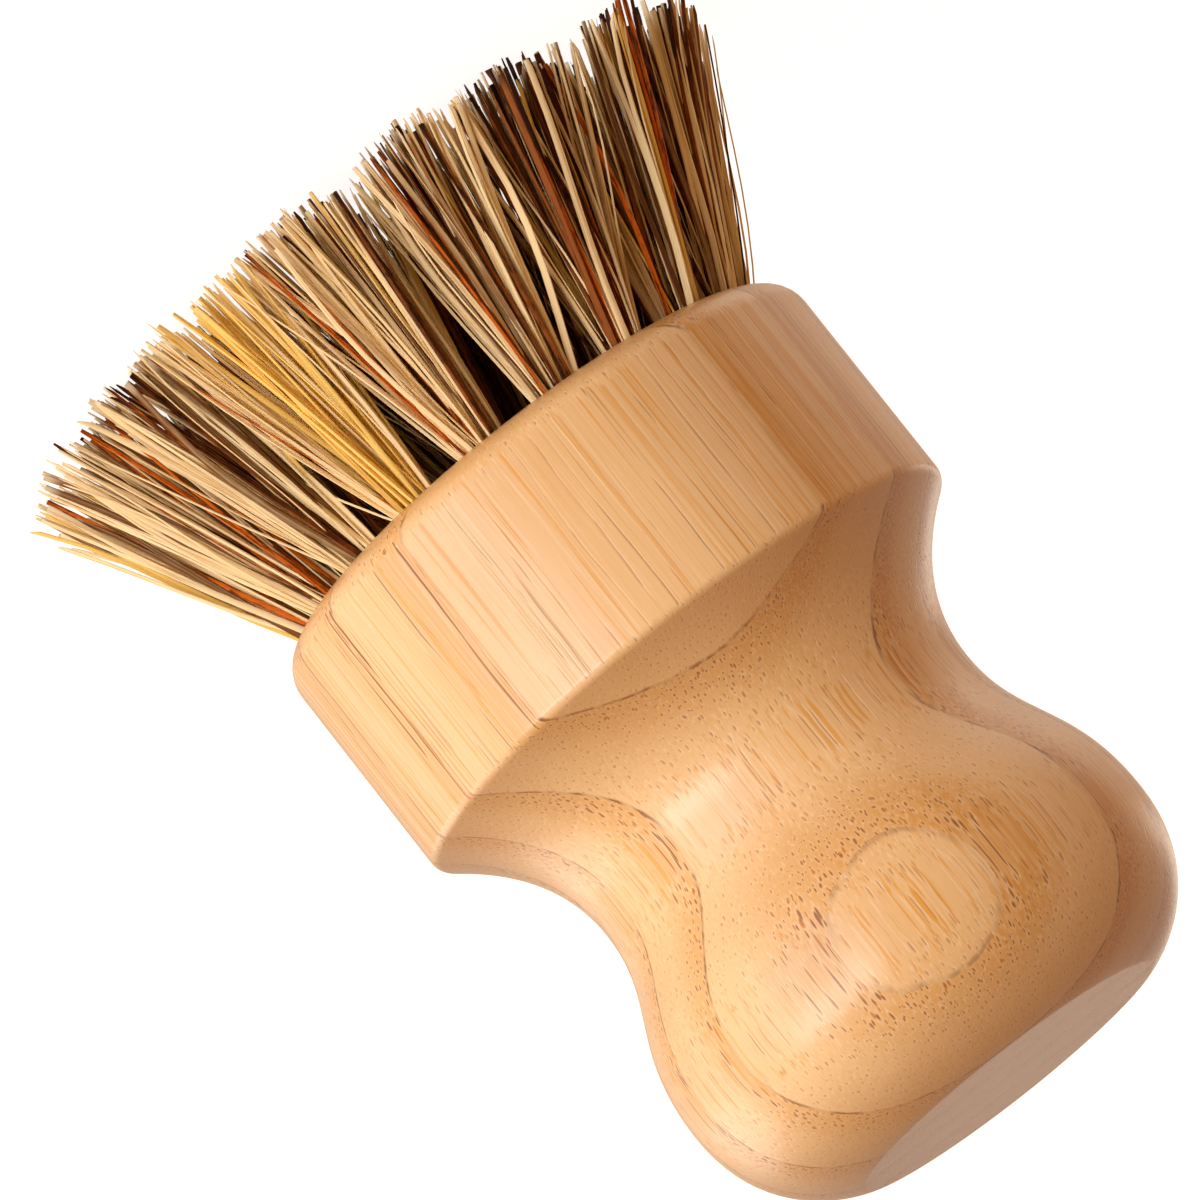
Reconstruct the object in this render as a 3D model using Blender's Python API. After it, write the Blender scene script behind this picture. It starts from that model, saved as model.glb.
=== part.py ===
# A pot brush: a turned bamboo handle whose wide head carries 29 tufts of plant fibre.
# Each tuft is folded round a short piece of flat wire, the anchor, and driven into a drilled hole,
# where the ends of the anchor bite into the wall of the hole.
# Metres, +Z up. The brush stands on the tips of its fibres, so z = 0 is under the tips
# and the knob of the handle is on top. The axis of the turned handle is the Z axis.

from math import cos, pi, radians, sin, sqrt, tan

import bmesh
import bpy
from mathutils import Matrix, Vector

MM = 0.001

# Driving dimensions: the turned handle, from the face of the head up to the end of the knob.
FACE_HEIGHT = 25.4 * MM         # the face of the head above the surface under the fibre tips
HEAD_RADIUS = 28.0 * MM
HEAD_HEIGHT = 23.0 * MM         # from the face to the edge where the neck begins
FACE_ROUND = 3.0 * MM
EDGE_ROUND = 1.3 * MM
SHOULDER_ANGLE = radians(52.0)  # how far the surface under the edge turns in from the axis
NECK_LENGTH = 13.3 * MM         # from the edge to the waist
WAIST_RADIUS = 19.85 * MM
GRIP_LENGTH = 18.6 * MM         # from the waist to the widest place of the knob
KNOB_RADIUS = 24.6 * MM
CROWN_LENGTH = 12.7 * MM        # from the widest place of the knob to its flat end
END_RADIUS = 15.8 * MM

# How far each curve of the handle keeps its direction, near the point that it leaves or reaches.
SHOULDER_PULL = 5.2 * MM
WAIST_PULL_BELOW = 6.0 * MM
WAIST_PULL_ABOVE = 7.6 * MM
KNOB_PULL_BELOW = 9.5 * MM
KNOB_PULL_ABOVE = 9.9 * MM
END_PULL = 0.7 * MM

# Driving dimensions: the drilled holes and what sits in them.
OUTER_COUNT = 18
MIDDLE_COUNT = 8
INNER_COUNT = 3
HOLE_DEPTH = 9.5 * MM           # along the axis of the hole, from the face
HOLE_WALL = 1.18 * MM           # wood between the bottoms of the outer holes, round their ring
RIM_MARGIN = 0.2 * MM           # flat wood between the outer holes and the round of the face
RING_WALL = 3.2 * MM            # wood between one ring of holes and the next, on the face
FIT = 0.3 * MM                  # clearance between pieces that touch
CUT_OVERRUN = 2.0 * MM          # how far a cutter passes the face that it enters

OUTER_LEAN = radians(20.0)      # how far the holes of each ring lean outwards
MIDDLE_LEAN = radians(13.0)
INNER_LEAN = radians(5.0)
OUTER_TURN = radians(15.4)      # direction of the first hole of each ring
MIDDLE_TURN = radians(8.0)
INNER_TURN = radians(30.0)

# The strands of a tuft. Each stands for a few fibres that lie together and spread a little.
STRAND_SIDES = 3
STRAND_RADIUS = 0.36 * MM       # where the strand leaves its plug
STRAND_TIP_RADIUS = 0.80 * MM
STRAND_GAP = 0.14 * MM
STRAND_ROOT = 1.2 * MM          # how far a strand is fused into its plug
RAGGED = 1.8 * MM               # between the shortest and the longest strand of a tuft
TRIM = 0.5 * MM                 # what the flat cut takes off the longest strands
TIP_STRIDE = 5                  # spreads the short strands over the tuft
GOLDEN_ANGLE = pi * (3.0 - sqrt(5.0))

# The anchor, a piece of flat wire that stands on edge across the hole.
ANCHOR_THICKNESS = 0.35 * MM
ANCHOR_WIDTH = 1.6 * MM
ANCHOR_BITE = 0.4 * MM          # how far each end goes into the wall of the hole
FOLD_THICKNESS = 1.2 * MM       # fibre between the anchor's pocket and the bottom of the plug

# Steps round the turned handle, round a hole, and along each curve of the outline.
TURN_STEPS = 64
HOLE_STEPS = 12
FACE_ROUND_STEPS = 4
EDGE_ROUND_STEPS = 3
CURVE_STEPS = 8
SHARP_ANGLE = radians(35.0)     # edges sharper than this stay crisp on the smooth handle

HANDLE_TOP = FACE_HEIGHT + HEAD_HEIGHT + NECK_LENGTH + GRIP_LENGTH + CROWN_LENGTH

# All holes are drilled alike, as wide as the walls of the outer ring leave them.
OUTER_EDGE = HEAD_RADIUS - FACE_ROUND - RIM_MARGIN
OUTER_STEP = 2 * pi / OUTER_COUNT
HOLE_RADIUS = (OUTER_STEP * (OUTER_EDGE - HOLE_DEPTH * sin(OUTER_LEAN)) - HOLE_WALL) / (2 + OUTER_STEP)
PLUG_RADIUS = HOLE_RADIUS - FIT
ROOT_SPREAD = PLUG_RADIUS - STRAND_RADIUS
STRANDS = int((ROOT_SPREAD / (STRAND_RADIUS + STRAND_GAP)) ** 2)


def clear_scene():
    """Removes what a new file starts with."""
    for item in list(bpy.data.objects):
        bpy.data.objects.remove(item, do_unlink=True)


def material(name, colour, roughness, metallic=0.0):
    """A Principled material of one colour."""
    made = bpy.data.materials.new(name)
    made.use_nodes = True
    shader = made.node_tree.nodes["Principled BSDF"]
    shader.inputs["Base Color"].default_value = (*colour, 1.0)
    shader.inputs["Roughness"].default_value = roughness
    shader.inputs["Metallic"].default_value = metallic
    made.diffuse_color = (*colour, 1.0)
    return made


def new_object(name, mesh):
    """An object of the mesh, linked to the scene."""
    made = bpy.data.objects.new(name, mesh)
    bpy.context.scene.collection.objects.link(made)
    return made


def mesh_from(name, bm):
    """A mesh of the bmesh, with its faces pointing out."""
    bmesh.ops.recalc_face_normals(bm, faces=bm.faces)
    mesh = bpy.data.meshes.new(name)
    bm.to_mesh(mesh)
    bm.free()
    return mesh


def curve_points(start, start_pull, end_pull, end, steps):
    """Points of a cubic curve after its start, drawn by two pull points."""
    points = []
    for step in range(1, steps + 1):
        t = step / steps
        u = 1.0 - t
        points.append(start * u ** 3 + start_pull * 3 * u * u * t + end_pull * 3 * u * t * t + end * t ** 3)
    return points


def handle_outline():
    """The outline of the handle as (radius, height) points, from the face up to the flat end."""
    edge_height = FACE_HEIGHT + HEAD_HEIGHT
    waist_height = edge_height + NECK_LENGTH
    knob_height = waist_height + GRIP_LENGTH

    points = []
    for step in range(FACE_ROUND_STEPS + 1):
        angle = pi / 2 * step / FACE_ROUND_STEPS
        radius = HEAD_RADIUS - FACE_ROUND * (1.0 - sin(angle))
        points.append(Vector((radius, FACE_HEIGHT + FACE_ROUND * (1.0 - cos(angle)))))

    for step in range(EDGE_ROUND_STEPS + 1):
        angle = SHOULDER_ANGLE * step / EDGE_ROUND_STEPS
        radius = HEAD_RADIUS - EDGE_ROUND * (1.0 - cos(angle))
        points.append(Vector((radius, edge_height - EDGE_ROUND * (1.0 - sin(angle)))))

    shoulder = points[-1]
    shoulder_way = Vector((-sin(SHOULDER_ANGLE), cos(SHOULDER_ANGLE)))
    waist = Vector((WAIST_RADIUS, waist_height))
    points += curve_points(
        shoulder, shoulder + shoulder_way * SHOULDER_PULL,
        waist - Vector((0, WAIST_PULL_BELOW)), waist, CURVE_STEPS)

    widest = Vector((KNOB_RADIUS, knob_height))
    points += curve_points(
        waist, waist + Vector((0, WAIST_PULL_ABOVE)),
        widest - Vector((0, KNOB_PULL_BELOW)), widest, CURVE_STEPS)

    end = Vector((END_RADIUS, HANDLE_TOP))
    points += curve_points(
        widest, widest + Vector((0, KNOB_PULL_ABOVE)),
        end + Vector((END_PULL, 0)), end, CURVE_STEPS)
    return points


def turned_mesh(name, outline, steps):
    """A solid turned about Z from an outline whose two open ends get flat faces."""
    bm = bmesh.new()
    row = [bm.verts.new((radius, 0, height)) for radius, height in outline]
    edges = [bm.edges.new(pair) for pair in zip(row, row[1:])]
    bmesh.ops.spin(
        bm, geom=row + edges, cent=(0, 0, 0), axis=(0, 0, 1), angle=2 * pi, steps=steps, use_merge=True)
    rims = [edge for edge in bm.edges if edge.is_boundary]
    bmesh.ops.holes_fill(bm, edges=rims, sides=0)
    return mesh_from(name, bm)


def fan_radius(reach, count, room):
    """How far a tuft spreads at its tips, clear of its neighbours and of the ring outside it."""
    return min(reach * sin(pi / count) - FIT / 2, room)


def make_rings():
    """The rings of holes from the outside in, with the place and the spread of their tufts."""
    rings = []
    radius = OUTER_EDGE - HOLE_RADIUS
    room_end = None
    for name, count, lean, turn, anchor_turn in (
            ("outer", OUTER_COUNT, OUTER_LEAN, OUTER_TURN, 0.0),
            ("middle", MIDDLE_COUNT, MIDDLE_LEAN, MIDDLE_TURN, 0.0),
            ("inner", INNER_COUNT, INNER_LEAN, INNER_TURN, pi / 2)):
        reach = radius + FACE_HEIGHT * tan(lean)
        room = reach if room_end is None else room_end - FIT - reach
        fan = fan_radius(reach, count, room)
        rings.append({
            "name": name, "count": count, "radius": radius, "lean": lean,
            "turn": turn, "fan": fan, "anchor_turn": anchor_turn})
        room_end = reach - fan
        radius -= 2 * HOLE_RADIUS + RING_WALL
    return rings


def hole_frame(radius, lean):
    """Where a hole on the +X side starts on the face. Its own Z axis runs up into the wood."""
    return Matrix.Translation((radius, 0, FACE_HEIGHT)) @ Matrix.Rotation(-lean, 4, "Y")


def add_rod(bm, place, radius, low, high):
    """A round rod along the Z axis of the place, between two heights on it."""
    middle = place @ Matrix.Translation((0, 0, (low + high) / 2))
    bmesh.ops.create_cone(
        bm, cap_ends=True, segments=HOLE_STEPS, radius1=radius, radius2=radius, depth=high - low,
        matrix=middle)


def add_block(bm, place, size, height):
    """A rectangular block of the given size, centred on the place's Z axis at the height."""
    middle = place @ Matrix.Translation((0, 0, height))
    bmesh.ops.create_cube(bm, size=1.0, matrix=middle @ Matrix.Diagonal((*size, 1.0)))


def anchor_height():
    """The middle of the anchor on the axis of its hole."""
    return HOLE_DEPTH - FIT - FOLD_THICKNESS - FIT - ANCHOR_WIDTH / 2


def anchor_size(gap):
    """Length, thickness and width of the anchor, or of the pocket that keeps a gap all round it."""
    length = 2 * (HOLE_RADIUS + ANCHOR_BITE)
    return length + 2 * gap, ANCHOR_THICKNESS + 2 * gap, ANCHOR_WIDTH + 2 * gap


def anchor_frame(ring):
    """The frame of the anchor's length, which lies along the ring's radius or across it."""
    return hole_frame(ring["radius"], ring["lean"]) @ Matrix.Rotation(ring["anchor_turn"], 4, "Z")


def evaluated(name, base, cutter, operation):
    """The mesh of base after one Boolean with cutter. Both helper objects are removed."""
    change = base.modifiers.new(operation.lower(), "BOOLEAN")
    change.operation = operation
    change.solver = "EXACT"
    change.object = cutter
    bpy.context.view_layer.update()
    result = base.evaluated_get(bpy.context.evaluated_depsgraph_get())
    mesh = bpy.data.meshes.new_from_object(result)
    mesh.name = name
    bpy.data.objects.remove(base, do_unlink=True)
    bpy.data.objects.remove(cutter, do_unlink=True)
    return mesh


def plug_mesh(ring):
    """The packed fibres inside a hole, level with the face of the head."""
    bm = bmesh.new()
    place = hole_frame(ring["radius"], ring["lean"])
    add_rod(bm, place, PLUG_RADIUS, -CUT_OVERRUN, HOLE_DEPTH - FIT)
    everything = bm.verts[:] + bm.edges[:] + bm.faces[:]
    bmesh.ops.bisect_plane(
        bm, geom=everything, plane_co=(0, 0, FACE_HEIGHT), plane_no=(0, 0, -1), clear_outer=True)
    bmesh.ops.holes_fill(bm, edges=[edge for edge in bm.edges if edge.is_boundary], sides=0)
    return mesh_from("plug", bm)


def between(at_face, at_tips, height):
    """A size that changes evenly from the face of the head to the surface under the tips."""
    down_share = (FACE_HEIGHT - height) / FACE_HEIGHT
    return at_face + (at_tips - at_face) * down_share


def strand_place(ring, strand, height):
    """The centre of a strand at a height, inside the straight-sided fan of its tuft."""
    out = sqrt((strand + 0.5) / STRANDS)
    turn = strand * GOLDEN_ANGLE
    tip_spread = ring["fan"] - STRAND_TIP_RADIUS
    spread = out * between(ROOT_SPREAD, tip_spread, height)
    middle = ring["radius"] + (FACE_HEIGHT - height) * tan(ring["lean"])
    return Vector((middle + spread * cos(turn), spread * sin(turn), height))


def strands_mesh(ring):
    """The strands of a tuft: straight, none crossing, cut level at their ragged tips."""
    bm = bmesh.new()
    for strand in range(STRANDS):
        rise_share = (strand * TIP_STRIDE % STRANDS) / STRANDS
        tip_height = max(0.0, RAGGED * rise_share - TRIM)
        rims = []
        for height in (tip_height, FACE_HEIGHT + STRAND_ROOT):
            centre = strand_place(ring, strand, height)
            radius = between(STRAND_RADIUS, STRAND_TIP_RADIUS, height)
            rim = []
            for side in range(STRAND_SIDES):
                angle = 2 * pi * side / STRAND_SIDES
                corner = Vector((cos(angle), sin(angle), 0)) * radius
                rim.append(bm.verts.new(centre + corner))
            rims.append(rim)
        bm.faces.new(rims[0])
        bm.faces.new(rims[1])
        for side in range(STRAND_SIDES):
            after = (side + 1) % STRAND_SIDES
            bm.faces.new((rims[0][side], rims[0][after], rims[1][after], rims[1][side]))
    return mesh_from("strands", bm)


def tuft_mesh(ring):
    """One tuft at the +X side: the strands fused to their plug, with the pocket for the anchor."""
    plug = new_object("plug", plug_mesh(ring))
    strands = new_object("strands", strands_mesh(ring))
    filled = new_object("filled", evaluated("filled", plug, strands, "UNION"))

    bm = bmesh.new()
    add_block(bm, anchor_frame(ring), anchor_size(FIT), anchor_height())
    pocket = new_object("pocket", mesh_from("pocket", bm))
    return evaluated("tuft_" + ring["name"], filled, pocket, "DIFFERENCE")


def anchor_mesh(ring):
    """One anchor at the +X side, across its hole."""
    bm = bmesh.new()
    add_block(bm, anchor_frame(ring), anchor_size(0.0), anchor_height())
    return mesh_from("anchor_" + ring["name"], bm)


def add_cutter(target, name, bm):
    """A hidden cutter that the target's Boolean modifier takes away."""
    cutter = new_object(name, mesh_from(name, bm))
    cutter.hide_render = True
    cutter.display_type = "WIRE"
    change = target.modifiers.new(name, "BOOLEAN")
    change.operation = "DIFFERENCE"
    change.solver = "EXACT"
    change.object = cutter


def ring_turns(ring):
    """The direction of each hole of the ring."""
    return [ring["turn"] + 2 * pi * place / ring["count"] for place in range(ring["count"])]


def make_handle(rings, finish):
    """The turned handle with its drilled holes and the bites of the anchors."""
    handle = new_object("handle", turned_mesh("handle", handle_outline(), TURN_STEPS))
    holes = bmesh.new()
    bites = bmesh.new()
    for ring in rings:
        for turn in ring_turns(ring):
            about = Matrix.Rotation(turn, 4, "Z")
            hole = about @ hole_frame(ring["radius"], ring["lean"])
            add_rod(holes, hole, HOLE_RADIUS, -CUT_OVERRUN, HOLE_DEPTH)
            add_block(bites, about @ anchor_frame(ring), anchor_size(FIT), anchor_height())
    add_cutter(handle, "drilled_holes", holes)
    add_cutter(handle, "anchor_bites", bites)
    handle.data.materials.append(finish)
    handle.data.shade_smooth()
    handle.data.set_sharp_from_angle(angle=SHARP_ANGLE)


def make_ring(ring, fibre, wire):
    """The tufts and anchors of one ring."""
    tuft = tuft_mesh(ring)
    tuft.materials.clear()
    tuft.materials.append(fibre)
    anchor = anchor_mesh(ring)
    anchor.materials.append(wire)
    for number, turn in enumerate(ring_turns(ring), start=1):
        for kind, mesh in (("tuft", tuft), ("anchor", anchor)):
            piece = new_object("{}_{}_{:02d}".format(kind, ring["name"], number), mesh)
            piece.rotation_euler = (0, 0, turn)


def main():
    clear_scene()
    rings = make_rings()
    bamboo = material("bamboo", (0.80, 0.52, 0.27), 0.42)
    fibre = material("fibre", (0.62, 0.42, 0.20), 0.65)
    wire = material("wire", (0.62, 0.60, 0.56), 0.35, 1.0)
    make_handle(rings, bamboo)
    for ring in rings:
        make_ring(ring, fibre, wire)


main()
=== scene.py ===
import math
import random

import bpy
from mathutils import Matrix, Vector


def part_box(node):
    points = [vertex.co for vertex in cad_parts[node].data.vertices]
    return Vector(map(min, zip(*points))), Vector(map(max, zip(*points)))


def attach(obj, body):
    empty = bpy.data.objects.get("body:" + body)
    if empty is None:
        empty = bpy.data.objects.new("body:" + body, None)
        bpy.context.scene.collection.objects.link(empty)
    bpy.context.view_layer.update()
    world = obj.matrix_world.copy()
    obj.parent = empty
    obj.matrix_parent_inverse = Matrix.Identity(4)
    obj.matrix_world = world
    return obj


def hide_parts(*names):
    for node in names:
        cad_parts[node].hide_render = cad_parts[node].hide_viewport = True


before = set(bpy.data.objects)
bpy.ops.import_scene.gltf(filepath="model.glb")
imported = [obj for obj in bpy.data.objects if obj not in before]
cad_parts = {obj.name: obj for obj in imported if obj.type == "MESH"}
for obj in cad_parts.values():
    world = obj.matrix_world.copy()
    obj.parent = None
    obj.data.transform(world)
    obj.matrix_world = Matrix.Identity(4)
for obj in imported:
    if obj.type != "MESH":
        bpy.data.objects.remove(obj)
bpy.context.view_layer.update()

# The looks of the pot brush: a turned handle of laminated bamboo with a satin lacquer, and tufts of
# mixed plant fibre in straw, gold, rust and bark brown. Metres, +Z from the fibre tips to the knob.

MM = 0.001
UP = Vector((0, 0, 1))

# The handle, with its main sizes from the frame.
HANDLE_LOW, HANDLE_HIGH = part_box("handle")
FACE_HEIGHT = HANDLE_LOW.z
HEAD_RADIUS = HANDLE_HIGH.x
END_HEIGHT = HANDLE_HIGH.z
HEAD_HEIGHT = 23.0 * MM
FACE_ROUND = 3.0 * MM
EDGE_ROUND = 1.3 * MM
SHOULDER_ANGLE = math.radians(52.0)     # how far the surface past the edge turns in from the axis
NECK_LENGTH = 13.3 * MM         # from the edge to the waist
WAIST_RADIUS = 19.85 * MM
GRIP_LENGTH = 18.6 * MM         # from the waist to the widest place of the knob
KNOB_RADIUS = 24.6 * MM
END_RADIUS = 15.8 * MM
FLAT_RIM = 0.15 * MM            # a narrow flat ring beside each round keeps its shading even

# How far each curve of the handle keeps its direction, near the point that it leaves or reaches.
SHOULDER_PULL = 5.2 * MM
WAIST_PULL_BELOW = 6.0 * MM
WAIST_PULL_ABOVE = 7.6 * MM
KNOB_PULL_BELOW = 9.5 * MM
KNOB_PULL_ABOVE = 9.9 * MM
END_PULL = 0.7 * MM

TURN_STEPS = 160
CURVE_STEPS = 22
ROUND_STEPS = 8
SHARP_ANGLE = math.radians(35.0)        # edges sharper than this stay crisp on the handle

# The drilled holes.
HOLE_RADIUS = 2.7 * MM
HOLE_DEPTH = 9.5 * MM
HOLE_STEPS = 24
MOUTH_FLARE = 0.12 * MM
CUT_OVERRUN = 2.0 * MM
RIM_MARGIN = 0.2 * MM           # flat wood between the outer holes and the round of the face
RING_WALL = 3.2 * MM            # wood between one ring of holes and the next
RING_STEP = 2 * HOLE_RADIUS + RING_WALL
OUTER_RADIUS = HEAD_RADIUS - FACE_ROUND - RIM_MARGIN - HOLE_RADIUS

# The rings of holes. The lean is outwards and the turn is that of the first hole, both in degrees.
# The fan is how far the fibres of a tuft spread towards their tips.
RINGS = (
    {"name": "outer", "count": 18, "radius": OUTER_RADIUS,
     "lean": 20.0, "turn": 15.4, "fan": 4.9 * MM},
    {"name": "middle", "count": 8, "radius": OUTER_RADIUS - RING_STEP,
     "lean": 13.0, "turn": 8.0, "fan": 7.0 * MM},
    {"name": "inner", "count": 3, "radius": OUTER_RADIUS - 2 * RING_STEP,
     "lean": 5.0, "turn": 30.0, "fan": 6.2 * MM},
)


def deselect():
    """Nothing is selected and object mode is on."""
    if bpy.context.mode != "OBJECT":
        bpy.ops.object.mode_set(mode="OBJECT")
    bpy.ops.object.select_all(action="DESELECT")


def activate(piece):
    """Only this piece is selected, and it is the active one."""
    deselect()
    piece.select_set(True)
    bpy.context.view_layer.objects.active = piece


def settle(piece, name):
    """Names a modelled piece and puts its place into its mesh."""
    activate(piece)
    bpy.ops.object.transform_apply(location=True, rotation=True, scale=True)
    piece.name = name
    piece.data.name = name
    return piece


def joined(pieces):
    """Joins pieces into the first of them."""
    activate(pieces[0])
    for piece in pieces:
        piece.select_set(True)
    bpy.ops.object.join()
    return bpy.context.object


def add_node(tree, kind, inputs=None, **settings):
    """A shader node with its settings, and its inputs as values or linked sockets."""
    made = tree.nodes.new(kind)
    for name, value in settings.items():
        setattr(made, name, value)
    for name, value in (inputs or {}).items():
        if isinstance(value, bpy.types.NodeSocket):
            tree.links.new(value, made.inputs[name])
        else:
            made.inputs[name].default_value = value
    return made


def math_node(tree, operation, first, second=0.0, third=0.0):
    """The value of one math operation."""
    made = add_node(tree, "ShaderNodeMath", {0: first, 1: second, 2: third}, operation=operation)
    return made.outputs[0]


def times(tree, first, second):
    """The product of two values."""
    return math_node(tree, "MULTIPLY", first, second)


def scaled(tree, value, factor, offset):
    """A value times a factor, plus an offset."""
    return math_node(tree, "MULTIPLY_ADD", value, factor, offset)


def ramp(tree, value, low, high, out_low=0.0, out_high=1.0):
    """A value read smoothly between two limits."""
    made = add_node(
        tree, "ShaderNodeMapRange",
        {"Value": value, "From Min": low, "From Max": high, "To Min": out_low, "To Max": out_high},
        interpolation_type="SMOOTHSTEP")
    return made.outputs["Result"]


def mix_colours(tree, factor, first, second):
    """Two colours mixed by a factor."""
    made = add_node(tree, "ShaderNodeMix", {0: factor, 6: first, 7: second}, data_type="RGBA")
    return made.outputs[2]


def stretched(tree, place, grains):
    """Coordinates for a pattern whose grains have a width and a length, in the units of place."""
    across, along = grains
    made = add_node(
        tree, "ShaderNodeMapping", {"Vector": place, "Scale": (1 / across, 1 / across, 1 / along)})
    return made.outputs["Vector"]


def noise(tree, vector, detail=2.0, roughness=0.5, output="Fac"):
    """A noise value or colour, about 0.5 on average."""
    made = add_node(
        tree, "ShaderNodeTexNoise",
        {"Vector": vector, "Scale": 1.0, "Detail": detail, "Roughness": roughness})
    return made.outputs[output]


def srgb(red, green, blue):
    """A colour from its 0 to 255 values on a screen."""
    def linear(value):
        share = value / 255
        return share / 12.92 if share <= 0.04045 else ((share + 0.055) / 1.055) ** 2.4
    return (linear(red), linear(green), linear(blue), 1.0)


def new_material(name):
    """A material with its Principled shader."""
    made = bpy.data.materials.new(name)
    made.use_nodes = True
    return made, made.node_tree, made.node_tree.nodes["Principled BSDF"]


def add_bump(tree, shader, height, strength, distance):
    """A bump from a height pattern. Its normal is also given back."""
    bump = add_node(
        tree, "ShaderNodeBump", {"Height": height, "Strength": strength, "Distance": distance})
    tree.links.new(bump.outputs["Normal"], shader.inputs["Normal"])
    return bump.outputs["Normal"]


# Bamboo. The block is glued from flat layers, which lie upright in the handle. The fibre bundles run
# along the handle, and across each layer they get denser towards the side that was the outside of
# the stem. All sizes of the pattern are in millimetres.
LAYER_TURN = math.radians(96.05)
LAYER_THICKNESS = 7.5
LAYER_START = 0.85              # from the axis to the nearest glue line
LAYER_SEED = 5.0
WIDE_SPACING = 0.64             # of the bundles that a whole layer has
WIDE_SIZE = 0.31                # of a bundle, as a share of its spacing
FINE_SPACING = 0.55             # of the bundles that only the dense side has
FINE_SIZE = 0.38
BUNDLE_WANDER = 0.9             # sideways along a bundle, for the dots and dashes
GRAIN_WANDER = 0.3              # for the lines

# Where each part of a bundle starts and is full: the dark core and the pale sheath in shares of the
# bundle's size, the pit in shares of the spacing.
CORE_LIMITS = (0.62, 0.30)
SHEATH_LIMITS = (1.35, 0.75)
PIT_LIMITS = (0.26, 0.08)

# The width and length of each pattern's grains. The length runs along the handle.
GRAINS = {
    "sway": (9.0, 30.0),
    "tremble": (0.7, 1.6),
    "wander": (2.2, 13.0),
    "patches": (3.0, 22.0),
    "threads": (0.20, 12.0),
    "lines": (0.27, 38.0),
    "bands": (0.44, 60.0),
    "clouds": (12.0, 30.0),
    "seam": (1.4, 3.0),
}

# Its colours, from the ground up.
BAMBOO = {
    "ground": srgb(245, 206, 154),
    "cloud": srgb(235, 189, 130),
    "layer": srgb(240, 192, 122),
    "dense": srgb(222, 161, 80),
    "gold": srgb(230, 158, 38),
    "band": srgb(214, 146, 46),
    "dark_thread": srgb(204, 144, 80),
    "pale_thread": srgb(251, 222, 180),
    "dark_line": srgb(200, 138, 62),
    "pale_line": srgb(252, 222, 178),
    "sheath": srgb(250, 218, 174),
    "brown_core": srgb(152, 93, 42),
    "gold_core": srgb(204, 130, 34),
    "seam": srgb(132, 76, 30),
    # end: the brown of end grain, partly painted shade
    "end": srgb(190, 136, 72),
}
LACQUER = {
    "Specular IOR Level": 0.2, "Coat Weight": 1.0, "Coat Roughness": 0.27, "Coat IOR": 1.58}
BAMBOO_RELIEF = 0.03 * MM


def layer_place(tree, place, depth):
    """Where in its layer a point lies, and the layer's tone. The open inner side is 0, the dense
    outer side 1."""
    sway = scaled(tree, noise(tree, stretched(tree, place, GRAINS["sway"])), 0.9, -0.45)
    tremble = noise(tree, stretched(tree, place, GRAINS["tremble"]), 3.0)
    tremble = scaled(tree, tremble, 0.14, -0.07)
    depth = math_node(tree, "ADD", depth, math_node(tree, "ADD", sway, tremble))
    depth = math_node(tree, "SUBTRACT", depth, LAYER_START)
    count = math_node(tree, "DIVIDE", depth, LAYER_THICKNESS)
    layer = math_node(tree, "FLOOR", count)
    tone = add_node(
        tree, "ShaderNodeTexWhiteNoise", {"W": math_node(tree, "ADD", layer, LAYER_SEED)},
        noise_dimensions="1D").outputs["Value"]
    return math_node(tree, "FRACT", count), tone


def wandering(tree, place, wander, reach):
    """Coordinates that wander sideways from place by a noise colour."""
    return add_node(
        tree, "ShaderNodeVectorMath", {0: wander, 1: (reach, reach, 0), 2: place},
        operation="MULTIPLY_ADD").outputs["Vector"]


def bundle_masks(tree, place, spacing, size):
    """Fibre bundles cut by the surface: dark core, pale sheath and pit. The size is a share."""
    flat = add_node(
        tree, "ShaderNodeMapping", {"Vector": place, "Scale": (1 / spacing, 1 / spacing, 0)})
    cells = add_node(
        tree, "ShaderNodeTexVoronoi",
        {"Vector": flat.outputs["Vector"], "Scale": 1.0, "Randomness": 0.8},
        voronoi_dimensions="2D")
    own = add_node(tree, "ShaderNodeSeparateColor", {"Color": cells.outputs["Color"]}).outputs[0]
    size = times(tree, size, scaled(tree, own, 0.9, 0.55))
    distance = cells.outputs["Distance"]
    core, sheath = (
        ramp(tree, distance, times(tree, size, start), times(tree, size, full))
        for start, full in (CORE_LIMITS, SHEATH_LIMITS))
    return core, sheath, ramp(tree, distance, *PIT_LIMITS)


def bundle_patterns(tree, place, within, dense, patchy):
    """The cores, sheaths and pits of the wide bundles, with the fine ones on the dense side."""
    density = times(
        tree, ramp(tree, patchy, 0.3, 0.62, 0.7, 1.05), ramp(tree, within, 0.2, 1.0, 0.7, 1.0))
    wide_core, wide_sheath, pits = bundle_masks(
        tree, place, WIDE_SPACING, times(tree, density, WIDE_SIZE))
    fine_core, fine_sheath, _ = bundle_masks(
        tree, place, FINE_SPACING, times(tree, density, times(tree, dense, FINE_SIZE)))
    wide_core = times(tree, wide_core, scaled(tree, dense, 0.4, 0.58))
    cores = math_node(tree, "MAXIMUM", wide_core, fine_core)
    sheaths = math_node(tree, "MAXIMUM", wide_sheath, fine_sheath)
    return cores, sheaths, pits


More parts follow.
